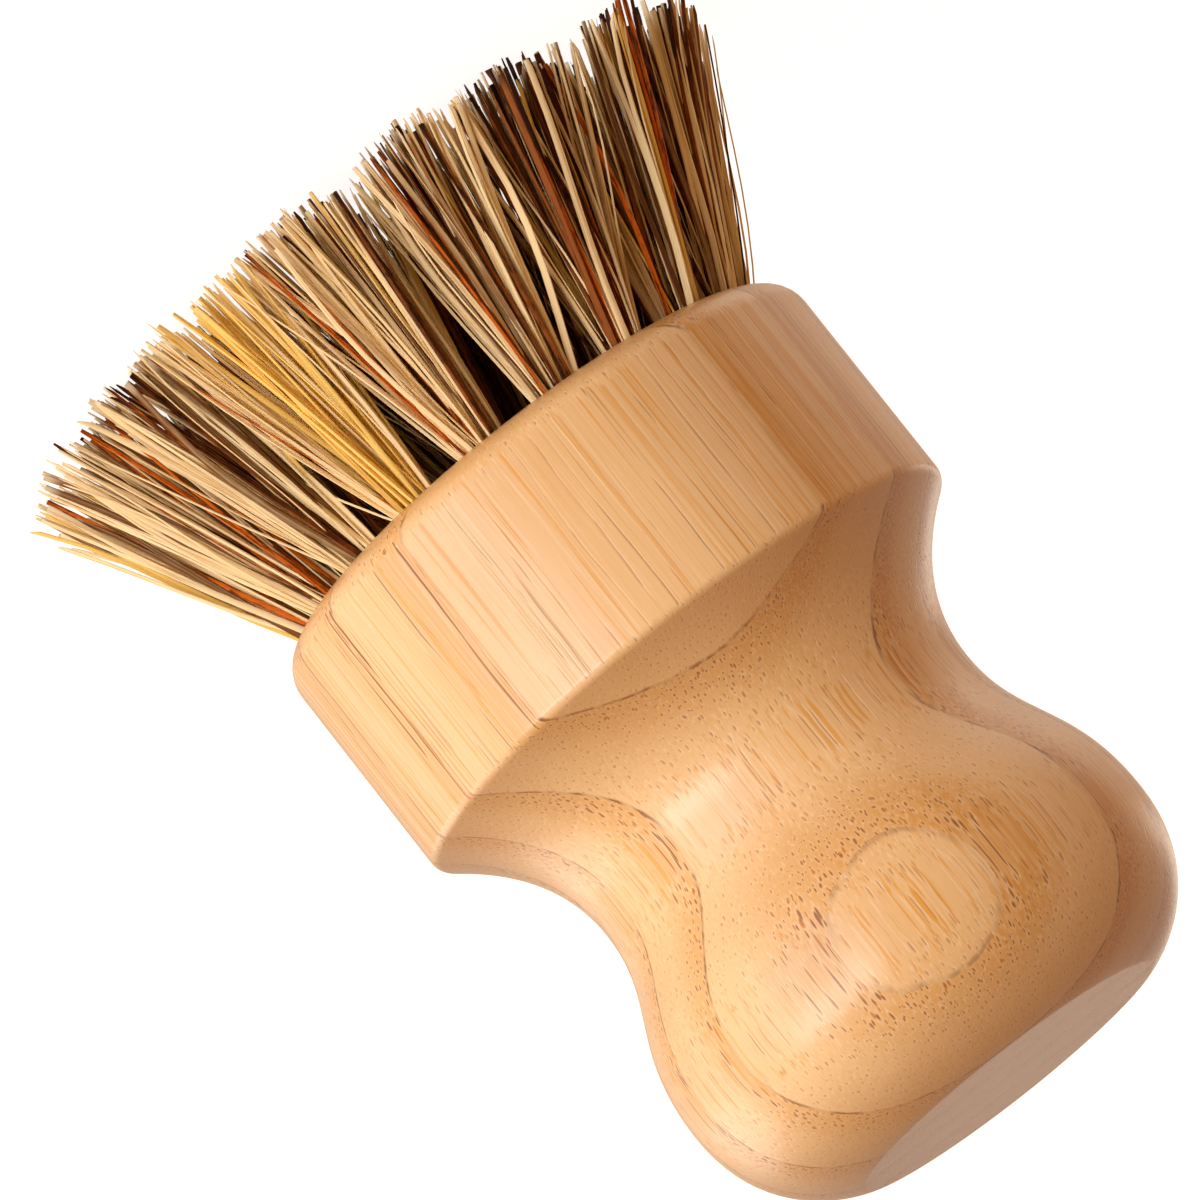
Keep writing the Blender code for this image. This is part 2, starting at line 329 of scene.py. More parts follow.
def seam_mask(tree, place, normal, within, end_cut):
    """The glue line, a brown seam that fades in and out."""
    beside = ramp(tree, within, 0.038, 0.012)
    fading = noise(tree, stretched(tree, place, GRAINS["seam"]))
    fading = ramp(tree, fading, 0.38, 0.62, 0.25, 0.95)
    along_side = ramp(tree, end_cut, 0.02, 0.3, 0.2, 1.0)
    seam = times(tree, beside, times(tree, fading, along_side))
    # Where the surface lies nearly along a layer, the seam spreads out and fades.
    facing = add_node(
        tree, "ShaderNodeVectorMath",
        {0: normal, 1: (math.cos(LAYER_TURN), -math.sin(LAYER_TURN), 0)},
        operation="DOT_PRODUCT").outputs["Value"]
    facing = math_node(tree, "ABSOLUTE", facing)
    return times(tree, seam, ramp(tree, facing, 0.97, 0.80, 0.4, 1.0))


def bamboo_material():
    """Laminated bamboo, sanded and lacquered."""
    made, tree, shader = new_material("laminated_bamboo")
    source = add_node(tree, "ShaderNodeTexCoord")
    normal = source.outputs["Normal"]
    place = add_node(
        tree, "ShaderNodeMapping",
        {"Vector": source.outputs["Object"], "Rotation": (0, 0, LAYER_TURN),
         "Scale": (1 / MM, 1 / MM, 1 / MM)}).outputs["Vector"]
    parts = add_node(tree, "ShaderNodeSeparateXYZ", {"Vector": place}).outputs
    end_cut = add_node(tree, "ShaderNodeSeparateXYZ", {"Vector": normal}).outputs["Z"]
    end_cut = math_node(tree, "ABSOLUTE", end_cut)
    on_side = ramp(tree, end_cut, 0.45, 0.05)
    within, tone = layer_place(tree, place, parts["X"])
    dense = ramp(tree, within, 0.55, 0.95)

    # The bundles wander, so a surface along them cuts them in dashes.
    wander = noise(tree, stretched(tree, place, GRAINS["wander"]), output="Color")
    patchy = noise(tree, stretched(tree, place, GRAINS["patches"]), 3.0)
    cores, sheaths, pits = bundle_patterns(
        tree, wandering(tree, place, wander, BUNDLE_WANDER), within, dense, patchy)

    straight = wandering(tree, place, wander, GRAIN_WANDER)
    threads = noise(tree, stretched(tree, place, GRAINS["threads"]), 2.0, 0.6)
    grain = noise(tree, stretched(tree, straight, GRAINS["lines"]), 1.0, 0.4)
    bands = noise(tree, stretched(tree, straight, GRAINS["bands"]), 1.0)
    cloud = noise(tree, stretched(tree, place, GRAINS["clouds"]))

    golden = scaled(tree, dense, 0.2, times(tree, on_side, 0.8))
    golden = times(tree, ramp(tree, cloud, 0.35, 0.6, 0.5, 1.0), golden)
    golden = times(tree, ramp(tree, bands, 0.59, 0.635), golden)
    # A browner band at the dense side of each layer, on the -X half of the handle, which faces away
    # from the key light: partly the wood's own golden bands, partly painted shade.
    band = times(tree, ramp(tree, parts["Y"], 2.0, -12.0), ramp(tree, within, 0.55, 0.88))
    band = times(tree, band, ramp(tree, bands, 0.35, 0.6, 0.3, 0.85))
    line_depth = ramp(tree, on_side, 0.0, 1.0, 0.30, 0.75)
    line_depth = times(tree, line_depth, ramp(tree, patchy, 0.42, 0.6, 0.3, 1.0))
    core = mix_colours(
        tree, ramp(tree, bands, 0.45, 0.6), BAMBOO["brown_core"], BAMBOO["gold_core"])

    colour = mix_colours(tree, ramp(tree, cloud, 0.3, 0.7), BAMBOO["ground"], BAMBOO["cloud"])
    for share, tint in (
            (times(tree, tone, 0.4), BAMBOO["layer"]),
            (ramp(tree, within, 0.45, 1.0, 0.0, 0.6), BAMBOO["dense"]),
            (golden, BAMBOO["gold"]),
            (band, BAMBOO["band"]),
            (ramp(tree, threads, 0.45, 0.22, 0.0, 0.25), BAMBOO["dark_thread"]),
            (ramp(tree, threads, 0.55, 0.78, 0.0, 0.4), BAMBOO["pale_thread"]),
            (times(tree, ramp(tree, grain, 0.37, 0.29), line_depth), BAMBOO["dark_line"]),
            (times(tree, ramp(tree, grain, 0.60, 0.72), 0.4), BAMBOO["pale_line"]),
            (times(tree, sheaths, 0.22), BAMBOO["sheath"]),
            (times(tree, cores, 0.95), core),
            (seam_mask(tree, place, normal, within, end_cut), BAMBOO["seam"]),
            # Browner towards end grain, where the surface faces up or down: partly the wood's own end
            # grain, partly painted shade on the shoulder under the head and on the knob's end, which
            # face away from the lamps.
            (ramp(tree, end_cut, 0.2, 0.95, 0.0, 0.55), BAMBOO["end"])):
        colour = mix_colours(tree, share, colour, tint)
    tree.links.new(colour, shader.inputs["Base Color"])

    dull = scaled(tree, threads, 0.10, scaled(tree, cores, 0.12, 0.45))
    tree.links.new(dull, shader.inputs["Roughness"])
    height = scaled(tree, pits, -1.2, times(tree, threads, 0.4))
    height = scaled(tree, grain, 0.9, height)
    bumped = add_bump(tree, shader, height, 0.4, BAMBOO_RELIEF)
    tree.links.new(bumped, shader.inputs["Coat Normal"])
    for name, value in LACQUER.items():
        shader.inputs[name].default_value = value
    return made


# The materials of the fibres. A fibre is all dark at the tone Low and all light at High.
HEART_SHADE_BROWN = srgb(60, 24, 5)   # painted shade: the dark brown of the fibres deep inside the tufts, where little light reaches
HEART_SHADE_LIMITS = (0.30, 0.02)     # the shades at which that painted shade starts and is full
TIP_LIMITS = (0.94, 0.995)      # where along a fibre the colour of its tip starts and is full
STREAK_GRAINS = (0.62, 0.7)     # across in radii of the fibre, along in shares of its length
MOTTLE_GRAINS = (1.3, 0.05)
SHADE_SHIFT = (91.0, 37.0)      # in the pattern, from the shade 0 to the shade 1
FIBRE_GLOSS = 0.12
FIBRE_RELIEF = 0.05 * MM
FIBRE_LOOKS = {
    "straw": {
        "name": "straw_fibre", "roughness": 0.5,
        "inputs": {
            "Light": srgb(255, 231, 177), "Dark": srgb(178, 108, 34), "Tip": srgb(252, 236, 200),
            "Tip Share": 0.5, "Mottle": 0.4, "Low": -0.10, "High": 0.50}},
    "gold": {
        "name": "golden_fibre", "roughness": 0.5,
        "inputs": {
            "Light": srgb(255, 219, 122), "Dark": srgb(224, 152, 50), "Tip": srgb(250, 226, 164),
            "Tip Share": 0.4, "Mottle": 0.4, "Low": -0.20, "High": 0.50}},
    "rust": {
        "name": "rust_fibre", "roughness": 0.5,
        "inputs": {
            "Light": srgb(220, 112, 32), "Dark": srgb(86, 32, 5), "Tip": srgb(70, 30, 12),
            "Tip Share": 0.5, "Mottle": 2.4, "Low": 0.26, "High": 1.02}},
    "bark": {
        "name": "bark_fibre", "roughness": 0.6,
        "inputs": {
            "Light": srgb(150, 84, 34), "Dark": srgb(40, 18, 5), "Tip": srgb(24, 12, 8),
            "Tip Share": 0.6, "Mottle": 1.2, "Low": 0.28, "High": 0.92}},
}


def fibre_streak_group():
    """Streaks along a fibre and its own shade, with painted shade on the darkest fibres, for every
    fibre material.
    """
    group = bpy.data.node_groups.new("fibre_streaks", "ShaderNodeTree")
    face = group.interface
    for name in ("Light", "Dark", "Tip", "Painted_Shade"):
        face.new_socket(name=name, in_out="INPUT", socket_type="NodeSocketColor")
    for name in ("Tip Share", "Mottle", "Low", "High"):
        face.new_socket(name=name, in_out="INPUT", socket_type="NodeSocketFloat")
    face.new_socket(name="Color", in_out="OUTPUT", socket_type="NodeSocketColor")
    face.new_socket(name="Height", in_out="OUTPUT", socket_type="NodeSocketFloat")
    given = add_node(group, "NodeGroupInput").outputs
    result = add_node(group, "NodeGroupOutput")

    grain = add_node(group, "ShaderNodeAttribute", attribute_name="grain").outputs["Vector"]
    along = add_node(group, "ShaderNodeSeparateXYZ", {"Vector": grain}).outputs["Z"]
    shade = add_node(group, "ShaderNodeAttribute", attribute_name="shade").outputs["Fac"]
    # Each shade has a place of its own in the pattern, so no two fibres look alike.
    shift_x, shift_y = SHADE_SHIFT
    own = add_node(
        group, "ShaderNodeCombineXYZ",
        {"X": times(group, shade, shift_x), "Y": times(group, shade, shift_y)})
    place = add_node(
        group, "ShaderNodeVectorMath", {0: grain, 1: own.outputs["Vector"]},
        operation="ADD").outputs["Vector"]
    streak = noise(group, stretched(group, place, STREAK_GRAINS), 3.0, 0.65)
    mottle = noise(group, stretched(group, place, MOTTLE_GRAINS), 3.0, 0.6)
    mottle = times(group, math_node(group, "SUBTRACT", mottle, 0.5), given["Mottle"])
    tone = scaled(group, streak, 1.7, scaled(group, shade, 0.95, -0.87))
    tone = math_node(group, "ADD", tone, mottle)

    share = ramp(group, tone, given["Low"], given["High"])
    colour = mix_colours(group, share, given["Dark"], given["Light"])
    lines = ramp(group, streak, 0.48, 0.34, 0.0, 0.5)
    colour = mix_colours(group, lines, colour, given["Dark"])
    # Painted shade: fibres of the lowest shades turn deep brown, as if shadowed inside their tuft.
    painted_shade = ramp(group, shade, *HEART_SHADE_LIMITS, 0.0, 0.85)
    colour = mix_colours(group, painted_shade, colour, given["Painted_Shade"])
    tip = times(group, ramp(group, along, *TIP_LIMITS), given["Tip Share"])
    colour = mix_colours(group, tip, colour, given["Tip"])
    group.links.new(colour, result.inputs["Color"])
    group.links.new(streak, result.inputs["Height"])
    return group


def fibre_material(look, group):
    """Dry plant fibre of one kind."""
    made, tree, shader = new_material(look["name"])
    inputs = dict(look["inputs"], Painted_Shade=HEART_SHADE_BROWN)
    streaks = add_node(tree, "ShaderNodeGroup", inputs, node_tree=group).outputs
    tree.links.new(streaks["Color"], shader.inputs["Base Color"])
    add_bump(tree, shader, streaks["Height"], 0.4, FIBRE_RELIEF)
    shader.inputs["Roughness"].default_value = look["roughness"]
    shader.inputs["Specular IOR Level"].default_value = FIBRE_GLOSS
    return made


def fibre_materials():
    """The four kinds of fibre in the mix."""
    group = fibre_streak_group()
    return {kind: fibre_material(look, group) for kind, look in FIBRE_LOOKS.items()}


WIRE_GRAINS = (1.0 * MM, 0.05 * MM)     # level, and along +Z


def wire_material():
    """Drawn flat wire with faint lines along it. The wire lies level in its hole."""
    made, tree, shader = new_material("drawn_wire")
    source = add_node(tree, "ShaderNodeTexCoord")
    lines = noise(tree, stretched(tree, source.outputs["Object"], WIRE_GRAINS), 3.0)
    colour = mix_colours(tree, lines, srgb(150, 148, 142), srgb(206, 204, 198))
    tree.links.new(colour, shader.inputs["Base Color"])
    tree.links.new(ramp(tree, lines, 0.2, 0.8, 0.25, 0.5), shader.inputs["Roughness"])
    shader.inputs["Metallic"].default_value = 1.0
    return made


def curve_points(start, start_pull, end_pull, end, steps):
    """Points of a cubic curve after its start, drawn by two pull points."""
    points = []
    for step in range(1, steps + 1):
        t = step / steps
        u = 1.0 - t
        near = start * u ** 3 + start_pull * 3 * u * u * t
        points.append(near + end_pull * 3 * u * t * t + end * t ** 3)
    return points


def handle_outline():
    """The outline of the handle as (radius, height) points, from the face up to the flat end."""
    edge_height = FACE_HEIGHT + HEAD_HEIGHT
    waist_height = edge_height + NECK_LENGTH
    knob_height = waist_height + GRIP_LENGTH
    flat_radius = HEAD_RADIUS - FACE_ROUND
    points = [Vector((flat_radius - FLAT_RIM, FACE_HEIGHT))]
    for step in range(ROUND_STEPS + 1):
        angle = math.pi / 2 * step / ROUND_STEPS
        points.append(Vector((
            flat_radius + FACE_ROUND * math.sin(angle),
            FACE_HEIGHT + FACE_ROUND * (1 - math.cos(angle)))))
    for step in range(ROUND_STEPS + 1):
        angle = SHOULDER_ANGLE * step / ROUND_STEPS
        points.append(Vector((
            HEAD_RADIUS - EDGE_ROUND * (1 - math.cos(angle)),
            edge_height - EDGE_ROUND * (1 - math.sin(angle)))))
    shoulder = points[-1]
    shoulder_way = Vector((-math.sin(SHOULDER_ANGLE), math.cos(SHOULDER_ANGLE)))
    waist = Vector((WAIST_RADIUS, waist_height))
    points += curve_points(
        shoulder, shoulder + shoulder_way * SHOULDER_PULL,
        waist - Vector((0, WAIST_PULL_BELOW)), waist, CURVE_STEPS)
    widest = Vector((KNOB_RADIUS, knob_height))
    points += curve_points(
        waist, waist + Vector((0, WAIST_PULL_ABOVE)),
        widest - Vector((0, KNOB_PULL_BELOW)), widest, CURVE_STEPS)
    end = Vector((END_RADIUS, END_HEIGHT))
    points += curve_points(
        widest, widest + Vector((0, KNOB_PULL_ABOVE)), end + Vector((END_PULL, 0)), end, CURVE_STEPS)
    points.append(Vector((END_RADIUS - FLAT_RIM, END_HEIGHT)))
    return points


def close_modelling(piece, name):
    """Ends the modelling of a closed piece with its faces pointing out."""
    bpy.ops.mesh.select_all(action="SELECT")
    bpy.ops.mesh.normals_make_consistent(inside=False)
    bpy.ops.object.mode_set(mode="OBJECT")
    return settle(piece, name)


def start_disc(steps, radius, height=0.0):
    """A flat disc in edit mode, from which a piece is drawn out."""
    deselect()
    bpy.ops.mesh.primitive_circle_add(
        vertices=steps, radius=radius, fill_type="NGON", location=(0, 0, height))
    piece = bpy.context.object
    bpy.ops.object.mode_set(mode="EDIT")
    bpy.ops.mesh.select_all(action="SELECT")
    return piece


def draw_out(way, size, centre):
    """Extrudes what is selected and sizes it about a centre."""
    bpy.ops.mesh.extrude_region_move(TRANSFORM_OT_translate={"value": way})
    bpy.ops.transform.resize(value=(size, size, 1), center_override=centre)


def turn_on_lathe(name, outline, steps):
    """A turned solid: a ring is drawn up along the outline, and both ends are closed flat."""
    piece = start_disc(steps, outline[0].x, outline[0].y)
    for before, after in zip(outline, outline[1:]):
        draw_out((0, 0, after.y - before.y), after.x / before.x, (0, 0, after.y))
    return close_modelling(piece, name)


def tuft_turn(ring, number):
    """The turn about +Z of a hole or tuft, from the +X axis."""
    turn = math.radians(ring["turn"]) + 2 * math.pi * number / ring["count"]
    return Matrix.Rotation(turn, 4, "Z")


def hole_frame(ring, number):
    """Where a hole starts on the face. Its own Z axis runs up into the wood."""
    lean = Matrix.Rotation(-math.radians(ring["lean"]), 4, "Y")
    return tuft_turn(ring, number) @ Matrix.Translation((ring["radius"], 0, FACE_HEIGHT)) @ lean


def drill():
    """The shape of a drilled hole, slightly flared where it passes the face."""
    piece = start_disc(HOLE_STEPS, HOLE_RADIUS, HOLE_DEPTH)
    flare = (HOLE_RADIUS + MOUTH_FLARE) / HOLE_RADIUS
    down = HOLE_DEPTH - 2 * MOUTH_FLARE
    bpy.ops.mesh.extrude_region_move(TRANSFORM_OT_translate={"value": (0, 0, -down)})
    draw_out((0, 0, -2 * MOUTH_FLARE), flare, (0, 0, 0))
    bpy.ops.mesh.extrude_region_move(TRANSFORM_OT_translate={"value": (0, 0, -CUT_OVERRUN)})
    return close_modelling(piece, "drill")


def drilled_holes():
    """The drill at every place of the three rings, as one piece."""
    first = drill()
    drills = []
    for ring in RINGS:
        for number in range(ring["count"]):
            copy = first.copy()
            copy.data = first.data.copy()
            copy.data.transform(hole_frame(ring, number))
            bpy.context.scene.collection.objects.link(copy)
            drills.append(copy)
    bpy.data.objects.remove(first, do_unlink=True)
    return joined(drills)


def make_handle(finish):
    """The handle, turned and then drilled."""
    handle = turn_on_lathe("turned_handle", handle_outline(), TURN_STEPS)
    holes = drilled_holes()
    activate(handle)
    cut = handle.modifiers.new("holes", "BOOLEAN")
    cut.operation = "DIFFERENCE"
    cut.solver = "EXACT"
    cut.object = holes
    bpy.ops.object.modifier_apply(modifier=cut.name)
    bpy.data.objects.remove(holes, do_unlink=True)
    bpy.ops.object.shade_smooth_by_angle(angle=SHARP_ANGLE)
    handle.data.materials.clear()
    handle.data.materials.append(finish)
    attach(handle, "root")
    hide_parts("handle")


# The fibres as they are modelled, before a copy is stretched to its place.
FIBRE_LENGTH = 28.0 * MM
FIBRE_STEPS = 7
FIBRE_SIDES = 6
FIBRE_SHARP_ANGLE = math.radians(50.0)

# How a fibre bends along its length: sideways bow in two directions, a sway, and a late turn of the
# tip, in millimetres.
BENDS = (
    (0.12, 0.0, 0.0, 0.0),
    (0.4, 0.15, 0.1, 0.3),
    (-0.3, 0.35, 0.12, -0.4),
    (0.7, -0.2, -0.15, 0.5),
    (0.1, -0.5, 0.25, -0.9),
    (1.2, 0.4, -0.2, 0.6),
)
HAIR_BENDS = ((1.6, 0.6, 0.5, 1.5), (-1.2, 1.4, -0.6, -2.0), (1.9, -0.8, 0.4, 0.8))
SPLIT_BENDS = BENDS[:3]
SPLIT_TURN = 0.7                # how far the two halves of a split tip part, in millimetres
SPLIT_SIZE = 0.72               # of a half, as a share of the whole fibre
SPLIT_OFF = 0.5                 # of a half from the middle, in shares of its radius

# Each kind of fibre: radius and flatness of its section, and the share left at the tip.
KINDS = {
    "straw": {"radius": 0.26 * MM, "flat": 0.66, "taper": 0.84},
    "gold": {"radius": 0.25 * MM, "flat": 0.72, "taper": 0.84},
    "rust": {"radius": 0.26 * MM, "flat": 0.66, "taper": 0.90},
    "bark": {"radius": 0.31 * MM, "flat": 0.60, "taper": 0.92},
}

# The tips: cut square, cut aslant, or drawn out to a sliver. The numbers are the last ring's size
# and its shift to one side, in shares of the fibre.
TIPS = {"square": (0.96, 0.0), "blunt": (0.85, 0.15), "aslant": (0.62, 0.35), "sliver": (0.35, 0.5)}
TIP_STEP = 0.20                 # of a full step, the length of a shaped tip
FORMS = {"thick": ("square", "blunt"), "thin": ("square", "aslant", "sliver")}


def bend_at(bend, share):
    """The sideways place of a fibre's middle at a share of its length."""
    bow_x, bow_y, sway, turn = bend
    bow = math.sin(math.pi * share)
    side = bow_x * bow + sway * math.sin(2 * math.pi * share) + turn * share ** 6
    return Vector((side, bow_y * bow, 0)) * MM


def model_fibre(name, kind, bend, tip, finish):
    """One fibre along +Z from the origin, drawn out of a small disc step by step."""
    piece = start_disc(FIBRE_SIDES, kind["radius"])
    bpy.ops.transform.resize(value=(1, kind["flat"], 1), center_override=(0, 0, 0))
    narrow = kind["taper"] ** (1 / FIBRE_STEPS)
    tip_size, tip_shift = tip
    step_height = FIBRE_LENGTH / (FIBRE_STEPS + TIP_STEP)
    radius = kind["radius"]
    before = Vector((0, 0, 0))
    for step in range(1, FIBRE_STEPS + 1):
        after = bend_at(bend, step * step_height / FIBRE_LENGTH) + UP * step * step_height
        draw_out(after - before, narrow, after)
        radius *= narrow
        before = after
    after = bend_at(bend, 1.0) + UP * FIBRE_LENGTH + Vector((tip_shift * radius, 0, 0))
    draw_out(after - before, tip_size, after)
    close_modelling(piece, name)

    mesh = piece.data
    mesh.attributes.new("shade", "FLOAT", "POINT")
    grain = mesh.attributes.new("grain", "FLOAT_VECTOR", "POINT")
    for corner in mesh.vertices:
        share = corner.co.z / FIBRE_LENGTH
        off = (corner.co - bend_at(bend, share)) / kind["radius"]
        grain.data[corner.index].vector = (off.x, off.y, share)
    mesh.shade_smooth()
    mesh.set_sharp_from_angle(angle=FIBRE_SHARP_ANGLE)
    mesh.materials.append(finish)
    return piece


def model_split_fibre(name, kind, bend, finish):
    """A fibre whose end is split: two halves lie together and part towards their tips."""
    half = dict(kind, radius=kind["radius"] * SPLIT_SIZE)
    bow_x, bow_y, sway, turn = bend
    halves = [
        model_fibre(name, half, (bow_x, bow_y, sway, turn + side * SPLIT_TURN), TIPS["sliver"], finish)
        for side in (-1, 1)]
    for piece, side in zip(halves, (-1, 1)):
        piece.data.transform(Matrix.Translation((side * half["radius"] * SPLIT_OFF, 0, 0)))
    return settle(joined(halves), name)


def model_fibres(finishes):
    """Every kind of fibre with every bend, as models to copy: blunt ones, then pointed ones."""
    models = {}
    for kind, shape in KINDS.items():
        finish = finishes[kind]
        for form, tips in FORMS.items():
            models[kind, form] = [
                model_fibre("{}_{}_{}".format(kind, number, tip), shape, bend, TIPS[tip], finish)
                for number, bend in enumerate(BENDS) for tip in tips]
        models[kind, "thick"] += [
            model_split_fibre("{}_split_{}".format(kind, number), shape, bend, finish)
            for number, bend in enumerate(SPLIT_BENDS)]
    models["hair"] = [
        model_fibre("hair_{}".format(number), KINDS["straw"], bend, TIPS["sliver"], finishes["straw"])
        for number, bend in enumerate(HAIR_BENDS)]
    return models


def plant_fibre(model, root, tip, thickness, roll, shade):
    """A copy of a modelled fibre, stretched from its root to its tip."""
    copy = model.copy()
    copy.data = model.data.copy()
    way = tip - root
    turn = way.to_track_quat("Z", "X").to_matrix().to_4x4() @ Matrix.Rotation(roll, 4, "Z")
    size = Matrix.Diagonal((thickness, thickness, way.length / FIBRE_LENGTH, 1.0))
    copy.data.transform(Matrix.Translation(root) @ turn @ size)
    copy.data.attributes["shade"].data.foreach_set("value", [shade] * len(copy.data.vertices))
    bpy.context.scene.collection.objects.link(copy)
    return copy


# The share of each kind in a tuft. The tufts of the photographed side follow the photograph.
PLAIN_MIX = {"straw": 0.60, "gold": 0.10, "rust": 0.12, "bark": 0.18}
# The hidden tufts hold more dark bark fibres: partly their own mix, partly painted shade deep inside
# the brush.
HIDDEN_MIX = {"straw": 0.22, "gold": 0.04, "rust": 0.12, "bark": 0.62}
TUFT_MIXES = {
    "outer_01": {"straw": 0.84, "gold": 0.06, "rust": 0.08, "bark": 0.02},
    "outer_18": {"straw": 0.84, "gold": 0.06, "rust": 0.10, "bark": 0.00},
    "outer_17": {"straw": 0.80, "gold": 0.04, "rust": 0.12, "bark": 0.04},
    "outer_16": {"straw": 0.80, "gold": 0.08, "rust": 0.04, "bark": 0.08},
    "outer_15": {"straw": 0.34, "gold": 0.64, "rust": 0.02, "bark": 0.00},
    "outer_14": {"straw": 0.72, "gold": 0.10, "rust": 0.10, "bark": 0.08},
    "outer_13": {"straw": 0.64, "gold": 0.08, "rust": 0.12, "bark": 0.16},
    "outer_12": {"straw": 0.62, "gold": 0.08, "rust": 0.12, "bark": 0.18},
    # outer_11 and outer_10 stand on the side away from the key light and hold more bark: partly their
    # own mix, partly painted shade in their gaps.
    "outer_11": {"straw": 0.56, "gold": 0.12, "rust": 0.10, "bark": 0.22},
    "outer_10": {"straw": 0.62, "gold": 0.06, "rust": 0.06, "bark": 0.26},
    "outer_09": {"straw": 0.84, "gold": 0.08, "rust": 0.06, "bark": 0.02},
}
# Single strands that stand out on the photographed side: kind, thickness, where it starts in its tuft
# towards +X as a share, how far its tip stands off towards +X in millimetres, and its shade.
SINGLE_STRANDS = {
    "outer_18": (
        ("rust", 1.1, 0.3, 1.5, 0.9), ("rust", 0.9, -0.3, -0.5, 0.9),
        ("straw", 1.3, 0.7, 1.0, 1.0)),
    "outer_17": (
        ("rust", 1.0, 0.1, 0.5, 0.9), ("rust", 0.9, -0.4, -1.0, 0.9)),
    "outer_16": (
        ("bark", 1.3, 0.2, 0.5, 0.7), ("bark", 1.1, 0.0, 0.9, 0.6),
        ("straw", 1.5, -0.5, -0.5, 1.0)),
    "outer_15": (
        ("gold", 1.5, 0.0, 0.0, 1.0), ("straw", 1.6, -0.5, -0.8, 1.0),
        ("gold", 1.3, 0.5, 0.8, 0.9)),
    "outer_14": (
        ("straw", 1.6, 0.0, 0.4, 1.0), ("rust", 0.9, 0.6, 1.6, 0.9),
        ("gold", 1.4, -0.3, -1.0, 0.9)),
    "outer_13": (
        ("rust", 1.2, 0.2, 0.8, 1.0), ("bark", 1.3, -0.4, -0.4, 0.7),
        ("straw", 1.5, -0.1, 0.3, 1.0)),
    "outer_12": (
        ("bark", 1.3, 0.4, 0.8, 0.7), ("bark", 1.2, 0.1, 0.2, 0.6),
        ("rust", 1.2, -0.3, -0.6, 1.0), ("straw", 1.5, 0.7, 1.4, 1.0)),
    "outer_11": (
        ("rust", 1.3, 0.2, 0.4, 1.0), ("straw", 1.5, -0.4, -0.6, 0.9),
        ("straw", 1.4, 0.5, 1.0, 1.0)),
    "outer_10": (
        ("bark", 1.3, 0.1, 0.3, 0.7), ("bark", 1.2, -0.2, -0.2, 0.6),
        ("straw", 1.4, 0.4, 0.8, 1.0), ("straw", 1.3, -0.6, -1.0, 1.0)),
}
STRAND_NEAR = 0.85              # how far a single strand starts towards the camera in its tuft
STRAND_RISE = 0.3

# How a tuft is filled. Sizes at the tips are in millimetres.
FIBRES_OUTER = 98
FIBRES_HIDDEN = 60
HAIRS = 17                      # fine curved ones in each tuft
ROOT_DEPTH = 2.0 * MM           # how far inside the hole a fibre starts
ROOT_SPREAD = 1.75 * MM
TIP_LIMIT = 36.6 * MM           # no tip lies further from the axis
CLUMPS = 14                     # bundles of one kind in a tuft
CLUMP_OFF = 3.2                 # how far a bundle's tips stand off their place at most
CLUMP_RISE = 0.8                # how much shorter a bundle is: its spread, and its limit
CLUMP_RISE_LIMIT = 1.8
BUNDLED_SHARE = 0.66            # of the fibres that stand in bundles
BUNDLE_SPREAD = 0.36            # of a bundle's roots, as a share of the tuft's radius
LOOSE_SPREAD = 2.6              # how far the tips of loose fibres and of hairs stray
HAIR_SPREAD = 3.6
LOOSE_OFF = 2.0                 # these three in shares of that spread
LOOSE_RISE = 0.55
LOOSE_RISE_LIMIT = 1.3
TIP_OFF = 0.6                   # how far each fibre's tip strays within its bundle
TIP_RISE = 0.2                  # of the longest tips above the floor
RIM_RISE = 0.9                  # how much shorter the fibres at the rim of a tuft are
RAGGED_RISE = 0.5               # how much shorter one fibre is than the next
RAGGED_RISE_LIMIT = 1.5

# The looks of the fibres: more of those in the middle of a tuft are dark than of those at its rim, as
# painted shade where less light reaches.
HEART_SHADED_SHARE = 0.66
RIM_SHADED_SHARE = 0.12
SHADED_SHARE_FACTORS = {                    # how many more or fewer fibres of a tuft are dark with painted shade, as a factor
    "outer_18": 1.1, "outer_17": 1.2, "outer_15": 0.1, "outer_14": 0.8, "outer_13": 0.9,
    "outer_11": 0.9, "outer_10": 0.9}
# Dark fibres: partly the fibre's own darker tone, partly painted shade.
DARK_SHADES = (0.0, 0.16)
LIGHT_SHADES = (0.42, 1.0)
HAIR_SHADES = (0.6, 1.0)
THICK_SHARES = {"straw": 0.40, "gold": 0.36, "rust": 0.16, "bark": 0.40}
THICKNESS = {"thick": (0.95, 1.5), "thin": (0.42, 0.9)}
HAIR_THICKNESS = (0.26, 0.5)


def disc_point(chance, radius):
    """A point chosen evenly on a disc."""
    out = radius * math.sqrt(chance.random())
    turn = chance.uniform(0, 2 * math.pi)
    return Vector((out * math.cos(turn), out * math.sin(turn), 0))


def square_point(chance, reach):
    """A point chosen on a square, most often near its middle."""
    return Vector((chance.triangular(-reach, reach), chance.triangular(-reach, reach), 0))


def small_rise(chance, spread, limit):
    """A height that is most often small, with a limit."""
    return min(abs(chance.gauss(0, spread)), limit)


def make_clumps(mix, chance):
    """The bundles of a tuft: where each starts, its kind, and how far its tips stand off and rise."""
    quota = [kind for kind, share in mix.items() for _ in range(round(share * CLUMPS))]
    return [{
        "spot": disc_point(chance, 1.0),
        "kind": kind,
        "off": square_point(chance, CLUMP_OFF),
        "rise": small_rise(chance, CLUMP_RISE, CLUMP_RISE_LIMIT),
    } for kind in quota]


def loose_fibre(mix, spread, chance):
    """A fibre of its own, outside the bundles. Its tip stands off by about the spread."""
    return {
        "spot": disc_point(chance, 1.0),
        "kind": chance.choices(list(mix), weights=list(mix.values()))[0],
        "off": square_point(chance, LOOSE_OFF) * spread,
        "rise": small_rise(chance, LOOSE_RISE * spread, LOOSE_RISE_LIMIT * spread),
    }


